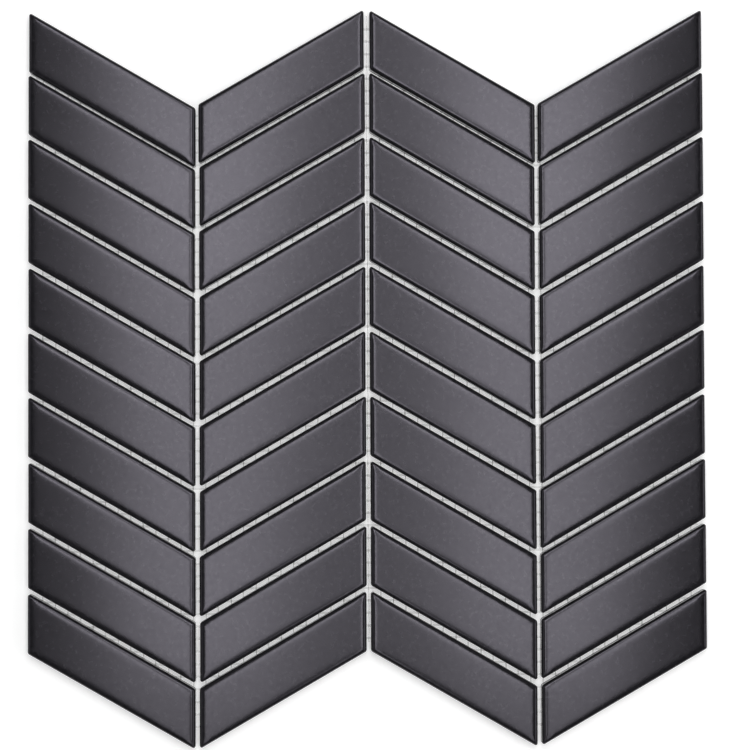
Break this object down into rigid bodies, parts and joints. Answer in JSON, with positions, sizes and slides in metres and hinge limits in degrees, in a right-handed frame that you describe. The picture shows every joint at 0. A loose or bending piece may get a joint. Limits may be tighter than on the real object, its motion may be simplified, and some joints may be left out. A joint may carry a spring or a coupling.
{
  "type": "chevron mosaic tile sheet",
  "caption": "Sheet of matte black slanted porcelain chips laid in chevron columns with open joints, glued on a trimmed glass-fibre mesh for bedding in tile adhesive.",
  "frame": {"origin": "centre of the sheet's outline on the underside of the backing mesh", "axes": "+Z out of the glazed face, +Y along the columns towards the edge whose middle is a peak, +X across the columns to the right as seen from the glazed side"},
  "size_m": [0.2708, 0.2948, 0.0065],
  "materials": {
    "chip_glaze": "matte glaze",
    "mesh_yarn": "coated glass yarn"
  },
  "bodies": {
    "root": {"chip_r01_c1": "chip_glaze", "chip_r01_c2": "chip_glaze", "chip_r01_c3": "chip_glaze", "chip_r01_c4": "chip_glaze", "chip_r02_c1": "chip_glaze", "chip_r02_c2": "chip_glaze", "chip_r02_c3": "chip_glaze", "chip_r02_c4": "chip_glaze", "chip_r03_c1": "chip_glaze", "chip_r03_c2": "chip_glaze", "chip_r03_c3": "chip_glaze", "chip_r03_c4": "chip_glaze", "chip_r04_c1": "chip_glaze", "chip_r04_c2": "chip_glaze", "chip_r04_c3": "chip_glaze", "chip_r04_c4": "chip_glaze", "chip_r05_c1": "chip_glaze", "chip_r05_c2": "chip_glaze", "chip_r05_c3": "chip_glaze", "chip_r05_c4": "chip_glaze", "chip_r06_c1": "chip_glaze", "chip_r06_c2": "chip_glaze", "chip_r06_c3": "chip_glaze", "chip_r06_c4": "chip_glaze", "chip_r07_c1": "chip_glaze", "chip_r07_c2": "chip_glaze", "chip_r07_c3": "chip_glaze", "chip_r07_c4": "chip_glaze", "chip_r08_c1": "chip_glaze", "chip_r08_c2": "chip_glaze", "chip_r08_c3": "chip_glaze", "chip_r08_c4": "chip_glaze", "chip_r09_c1": "chip_glaze", "chip_r09_c2": "chip_glaze", "chip_r09_c3": "chip_glaze", "chip_r09_c4": "chip_glaze", "chip_r10_c1": "chip_glaze", "chip_r10_c2": "chip_glaze", "chip_r10_c3": "chip_glaze", "chip_r10_c4": "chip_glaze", "mesh_warp_yarns": "mesh_yarn", "mesh_weft_yarns": "mesh_yarn"}
  },
  "joints": []
}
